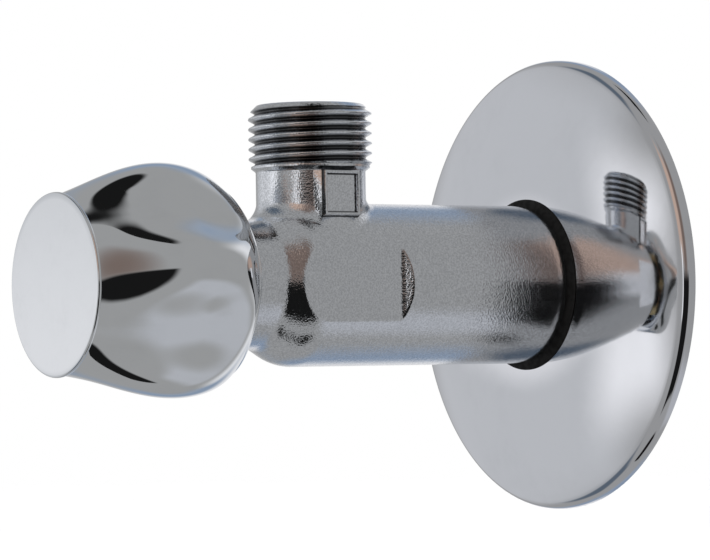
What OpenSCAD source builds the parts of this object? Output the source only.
// Angle valve for the water supply under a wash basin.
// A screwed wall inlet, a body tube along the wall's normal, an outlet nipple that points up
// and a knob with five rounded ribs on the front, with the working parts inside.
// Millimetres. The origin lies on the wall plane on the body's axis.
// +Y runs into the wall, +Z up towards the outlet, +X to the side of the mark's place.

/* [Body] */
// Radius of the body tube
tube_r = 11; // [10:0.1:12]
// Radius of the collar behind the knob
collar_r = 8.6; // [8:0.1:9.2]
// Distance of the outlet's axis in front of the wall
outlet_y = 40.5; // [38:0.5:45]
// Distance of the body's front face in front of the wall
front_y = 58.5; // [57:0.5:60]
// Half the width across the two wrench flats
flat_half = 9.8; // [9:0.1:10.8]
// Radius of the tube's long rounded end at the wall plate
end_round = 4; // [2:0.1:5]

/* [Nipples] */
// Outside radius of the outlet thread
outlet_r = 8.331; // [8.331, 10.4775]
// Height of the outlet's mouth above the body's axis
outlet_top = 24.2; // [23:0.1:28]
// Radius of the outlet's bore, for a tube of ten millimetres
outlet_bore_r = 5.05; // [4:0.05:6]
// Depth of the tube's seat below the outlet's mouth
tube_seat = 11.8; // [8:0.1:15]
// Radius of the neck below the outlet thread
neck_r = 7.4; // [6.8:0.1:8]
// Outside radius of the inlet thread
inlet_r = 10.4775; // [10.4775, 8.331]
// Length of the inlet nipple behind the wall plane
inlet_len = 13; // [10:0.5:20]
// Radius of the inlet's bore
inlet_bore_r = 6.5; // [5:0.1:7.5]

/* [Wall plate] */
// Radius of the wall plate
plate_r = 31.5; // [27:0.5:35]
// Height of the plate's dome above the wall
plate_h = 5.3; // [4:0.1:8]
// Thickness of the sheet
plate_t = 0.8; // [0.5:0.1:1.2]
// Radius of the hole in the plate
plate_hole_r = 10.75; // [10.6:0.05:11]

/* [Knob] */
// Radius of the knob's flat face with its rounded rim
face_r = 11.95; // [11:0.05:13]
// Rounding of the face's rim
rim_round = 0.25; // [0.1:0.05:0.6]
// Largest radius over the ribs
rib_r = 16.35; // [15:0.05:18]
// Depth of the hollows between the ribs
rib_depth = 2.4; // [0.5:0.1:3.5]
// Angle of the first rib, counted from +X towards +Z
rib_angle = 8; // [0:1:72]
// Number of ribs
rib_count = 5; // [3:1:9]

/* [Headwork] */
// Travel of the piston from closed to open
lift = 4.5; // [3:0.1:4.6]
// Width across the flats of the headwork's hexagon
hex_af = 17; // [15:1:19]
// Radius of the spindle in its bearing
spindle_r = 3.95; // [3.5:0.05:4]
// Radius of the piston in its bore
piston_r = 5.95; // [5.5:0.05:6]
// Number of teeth on the spindle's head
teeth = 20; // [12:2:24]

/* [Hidden] */
$fn = 96;
oy = -outlet_y;
knob_face = -79.7;
knob_side = -79.45;
knob_rear = -56;

// A solid turned about the body's axis. Its outline is drawn with the radius across
// and the place along Y upwards.
module turned() {
    rotate([-90, 0, 0]) rotate_extrude() children();
}

// A cylinder on the body's axis from a to b.
module along(r, a, b) {
    translate([0, a, 0]) rotate([-90, 0, 0]) cylinder(h = b - a, r = r);
}

// A cone on the body's axis, radius ra at a and rb at b.
module taper(ra, rb, a, b) {
    translate([0, a, 0]) rotate([-90, 0, 0]) cylinder(h = b - a, r1 = ra, r2 = rb);
}

// A hexagonal bar on the body's axis, af across its flats.
module hexbar(af, a, b) {
    translate([0, a, 0]) rotate([-90, 0, 0]) cylinder(h = b - a, r = af / sqrt(3), $fn = 6);
}

// An O-ring on the body's axis.
module o_ring(major, minor, y) {
    turned() translate([major, y]) circle(r = minor, $fn = 32);
}

// The toothed outline of the spindle's head, grown outwards by gap.
module teeth_outline(gap) {
    polygon([for (i = [0 : 2 * teeth - 1]) let (
        r = (i % 2 == 0 ? 4 : 3.62) + gap, w = 180 / teeth * i) [r * cos(w), r * sin(w)]]);
}

// The body's outside: collar, hollow corner, shoulder cone, rounded crest, tube, inlet nipple.
module body_outline() {
    // the collar and the cone meet in a hollow corner, the cone and the tube in a round crest
    corner_y = oy - 9.74;
    cone_a = [8.806, oy - 8.982];
    cone_b = [10.106, oy - 6.763];
    difference() {
        polygon([[0, -front_y], [collar_r - 0.35, -front_y], [collar_r, -front_y + 0.35],
            [collar_r, corner_y], cone_a, cone_b, [10.106, oy - 3.47], [tube_r, oy - 3.47],
            [tube_r, -8.1], [inlet_r, -8.1], [inlet_r, -5.4], [inlet_r - 0.9, -4.6],
            [inlet_r - 0.9, -3.4], [inlet_r, -2.6],
            [inlet_r, inlet_len - 1.3], [inlet_r - 1.3, inlet_len], [0, inlet_len]]);
        translate([10.1, corner_y]) circle(r = 1.5);
    }
    intersection() {
        translate([4.5, oy - 3.47]) circle(r = 6.5);
        translate([8, oy - 6.763]) square([4, 3.5]);
    }
    intersection() {
        translate([tube_r - end_round, -8.1]) circle(r = end_round);
        translate([9.5, -8.2]) square([2, 2.2]);
    }
}

// One wrench flat on the +X side, with its sloped run-out towards the wall.
module wrench_cut() {
    translate([0, 0, -14]) linear_extrude(28)
        polygon([[flat_half, oy - 9.4], [flat_half, oy + 8], [tube_r, oy + 10.1],
            [14, oy + 10.1], [14, oy - 9.4]]);
}

// The neck with its flare, the outlet nipple and its chamfer.
module outlet() {
    translate([0, oy, 0]) {
        cylinder(h = 15.2, r = neck_r);
        translate([0, 0, 15]) cylinder(h = 0.75, r1 = neck_r, r2 = 8);
        translate([0, 0, 15.75]) cylinder(h = 0.4, r = 8);
        translate([0, 0, 16]) cylinder(h = outlet_top - 17.1, r = outlet_r);
        translate([0, 0, outlet_top - 1.1])
            cylinder(h = 1.1, r1 = outlet_r, r2 = outlet_r - 1.13);
    }
}

// The raised flat pad on the neck with bevelled sides.
module pad() {
    translate([0, oy, 9]) linear_extrude(6.1)
        polygon([[0, -3.7], [6.35, -3.7], [7.5, -2.85], [7.5, 2.85], [6.35, 3.7], [0, 3.7]]);
}

// The plain raised frame on the pad.
module pad_frame() {
    difference() {
        translate([7.3, oy - 2.85, 9]) cube([0.45, 5.7, 6.1]);
        translate([7.5, oy - 2.5, 9.35]) cube([1, 5, 5.4]);
    }
}

// The forged and plated body with its water ways.
module valve_body() {
    color([0.75, 0.76, 0.78]) difference() {
        union() {
            difference() {
                turned() body_outline();
                wrench_cut();
                mirror([1, 0, 0]) wrench_cut();
            }
            outlet();
            pad();
            mirror([1, 0, 0]) pad();
            pad_frame();
        }
        along(7.5, -front_y - 1, -46);
        taper(8.1, 7.5, -front_y - 0.01, -front_y + 0.6);
        along(7, -46.01, -33);
        along(4.5, -33.01, -30.9);
        along(inlet_bore_r, -31, inlet_len + 1);
        taper(inlet_bore_r, inlet_bore_r + 1, inlet_len - 1, inlet_len + 0.01);
        translate([0, oy, 0]) cylinder(h = outlet_top, r = 4.2);
        translate([0, oy, outlet_top - tube_seat])
            cylinder(h = tube_seat + 1, r = outlet_bore_r);
        translate([0, oy, outlet_top - 1])
            cylinder(h = 1.01, r1 = outlet_bore_r, r2 = outlet_bore_r + 1);
    }
}

// The dome's outline, drawn in by the distance g from the outer skin.
module plate_skin(g) {
    dome = 58.4 - g;
    edge = plate_r - g;
    round_r = 1 - g;
    intersection() {
        translate([11, 58.4 - plate_h]) circle(r = dome, $fn = 180);
        difference() {
            translate([0, -9]) square([edge, 9]);
            polygon([[30.5, -0.89], [30.84, -1.83], [31.2, -2.83], [33, -2.83], [33, -0.89]]);
        }
    }
    if (round_r > 0.05) translate([30.5, -0.89]) circle(r = round_r);
}

// The pressed wall plate.
module rosette() {
    color([0.78, 0.79, 0.8]) turned() difference() {
        plate_skin(0);
        plate_skin(plate_t);
        translate([0, -10]) square([plate_hole_r, 12]);
        translate([29.5, 0]) square([4, 2]);
    }
}

// The flat rubber ring between the end of the tube and the plate, with a rounded outer edge.
module rosette_ring() {
    color([0.05, 0.05, 0.05]) turned() intersection() {
        translate([11.05, -5.725]) circle(r = 0.88, $fn = 48);
        translate([10.52, -6.1]) square([2, 0.75]);
    }
}

// The headwork's housing: snout, hexagon, screwed part and guide for the piston.
module headwork_body() {
    color([0.8, 0.65, 0.35]) difference() {
        union() {
            along(6.2, -68.3, -65.2);
            intersection() {
                hexbar(hex_af, -65.3, -59.3);
                taper(8.4, 12, -65.3, -61);
            }
            hexbar(hex_af, -61.2, -59.3);
            along(7.45, -59.4, -48);
            along(7.2, -48.1, -46.1);
        }
        along(4, -69, -64);
        hexbar(10.2, -64.5, -54);
        along(6, -54.1, -46);
    }
}

// The flat ring under the hexagon.
module headwork_seal() {
    color([0.75, 0.45, 0.25]) difference() {
        along(8.4, -59.3, -58.5);
        along(7.5, -60, -58);
    }
}

// The spindle: toothed head, ring groove, bearing with two grooves, collar and drive thread.
module spindle() {
    color([0.82, 0.68, 0.38]) difference() {
        union() {
            translate([0, -76, 0]) rotate([-90, 0, 0]) linear_extrude(6.5) teeth_outline(0);
            along(spindle_r, -69.55, -63.9);
            along(4.9, -63.95, -62.2);
            along(3.3, -62.3, -52);
        }
        difference() {
            along(5, -69.35, -68.75);
            along(3.5, -69.5, -68.6);
        }
        for (y = [-67.6, -66]) difference() {
            along(5, y - 0.5, y + 0.5);
            along(3.1, y - 0.6, y + 0.6);
        }
    }
}

// The two O-rings that seal the spindle in the snout.
module spindle_o_ring_front() {
    color([0.06, 0.06, 0.06]) o_ring(3.53, 0.42, -67.6);
}

module spindle_o_ring_rear() {
    color([0.06, 0.06, 0.06]) o_ring(3.53, 0.42, -66);
}

// The slide ring that carries the spindle's collar inside the housing.
module thrust_washer() {
    color([0.9, 0.9, 0.88]) difference() {
        along(5.05, -64.5, -64);
        along(4, -65, -63);
    }
}

// The washer in front of the snout.
module slide_washer() {
    color([0.7, 0.7, 0.7]) difference() {
        along(5.9, -68.72, -68.35);
        along(4, -69, -68);
    }
}

// The open ring that holds the spindle.
module retaining_ring() {
    color([0.55, 0.56, 0.58]) difference() {
        along(5.5, -69.3, -68.8);
        along(3.55, -70, -68);
        translate([0, -70, -1.6]) cube([8, 3, 3.2]);
    }
}

// The piston: hexagonal head with the drive bore, sealed drum, waist and cup.
module piston() {
    color([0.8, 0.65, 0.35]) difference() {
        union() {
            hexbar(10, -57.5, -49.3);
            along(piston_r, -49.4, -46.2);
            along(4.2, -46.3, -38.1);
            along(5.6, -38.2, -35.6);
        }
        along(3.35, -58, -46.8);
        along(1.25, -42, -35);
        difference() {
            along(7, -48.6, -47);
            along(4.75, -49, -46.5);
        }
    }
}

// The O-ring that seals the piston in the housing.
module piston_o_ring() {
    color([0.06, 0.06, 0.06]) o_ring(5.36, 0.6, -47.8);
}

// The soft washer that closes the seat.
module seat_washer() {
    color([0.08, 0.08, 0.08]) difference() {
        along(5.3, -35.6, -33.1);
        along(1.25, -36, -33);
    }
}

// The screw that holds the seat washer, with its broad slotted head.
module seat_washer_screw() {
    color([0.8, 0.7, 0.45]) difference() {
        union() {
            along(1.2, -41.5, -33);
            along(2.6, -33.1, -31.6);
        }
        translate([-3, -32.1, -0.3]) cube([6, 1, 0.6]);
    }
}

// The toothed sleeve inside the knob.
module knob_insert() {
    color([0.85, 0.85, 0.83]) difference() {
        union() {
            along(5.6, -77.2, -69.6);
            along(6.1, -75.4, -74);
        }
        translate([0, -76.4, 0]) rotate([-90, 0, 0]) linear_extrude(8) teeth_outline(0.05);
    }
}

// Radius over the ribs at the place y: a smooth flare from the face, then an elliptic fall.
function over_ribs(y) = let (t = y + 40.5, u = min(1, max(0, (t + 39.2) / 15)))
    t < -24.2 ? face_r + (rib_r - face_r) * u * u * (3 - 2 * u)
    : 10 + (rib_r - 10) * sqrt(max(0, 1 - pow((t + 24.2) / 9.6, 2)));

// How much of the hollows' full depth is left at the place y.
function hollow_share(y) = let (t = y + 40.5,
    a = min(1, max(0, (t + 39) / 7)), b = min(1, max(0, (-15.7 - t) / 8)))
    a * a * (3 - 2 * a) * sqrt(b * (2 - b));

// One ring of points around the knob at the place y.
function knob_ring(y, n) = [for (i = [0 : n - 1]) let (w = 360 / n * i,
    s = (1 + cos(rib_count * (w - rib_angle))) / 2,
    r = over_ribs(y) - rib_depth * hollow_share(y) * (1 - s)) [r * cos(w), y, r * sin(w)]];

// The outer form of the knob between its face rim and its rear edge.
module ribbed_form(n) {
    ys = concat([knob_side], [for (k = [1 : 12]) knob_side + k * 1.25],
        [for (k = [1 : 8]) knob_side + 15 + k * 0.86], [knob_rear - 0.6, knob_rear]);
    m = len(ys);
    pts = [for (y = ys) each knob_ring(y, n)];
    polyhedron(points = pts, faces = concat(
        [[for (i = [n - 1 : -1 : 0]) i]],
        [for (k = [0 : m - 2], i = [0 : n - 1]) let (j = (i + 1) % n)
            [k * n + i, k * n + j, (k + 1) * n + j, (k + 1) * n + i]],
        [[for (i = [0 : n - 1]) (m - 1) * n + i]]), convexity = 4);
}

// The hollow plated knob with its flat face.
module knob() {
    color([0.8, 0.81, 0.82]) difference() {
        union() {
            ribbed_form(120);
            turned() {
                translate([0, knob_face]) square([face_r - rim_round, 2]);
                intersection() {
                    translate([face_r - rim_round, knob_face + rim_round]) circle(r = rim_round);
                    translate([face_r - 1, knob_face]) square([1, rim_round + 0.01]);
                }
            }
        }
        difference() {
            taper(9.3, 11, -77.4, knob_rear + 0.01);
            along(7.3, -78, -70.4);
        }
        along(5.65, -77.4, -70);
        along(6.15, -75.45, -73.95);
    }
}

valve_body();
rosette();
rosette_ring();
headwork_body();
headwork_seal();
spindle();
spindle_o_ring_front();
spindle_o_ring_rear();
thrust_washer();
slide_washer();
retaining_ring();
piston();
piston_o_ring();
seat_washer();
seat_washer_screw();
knob_insert();
knob();
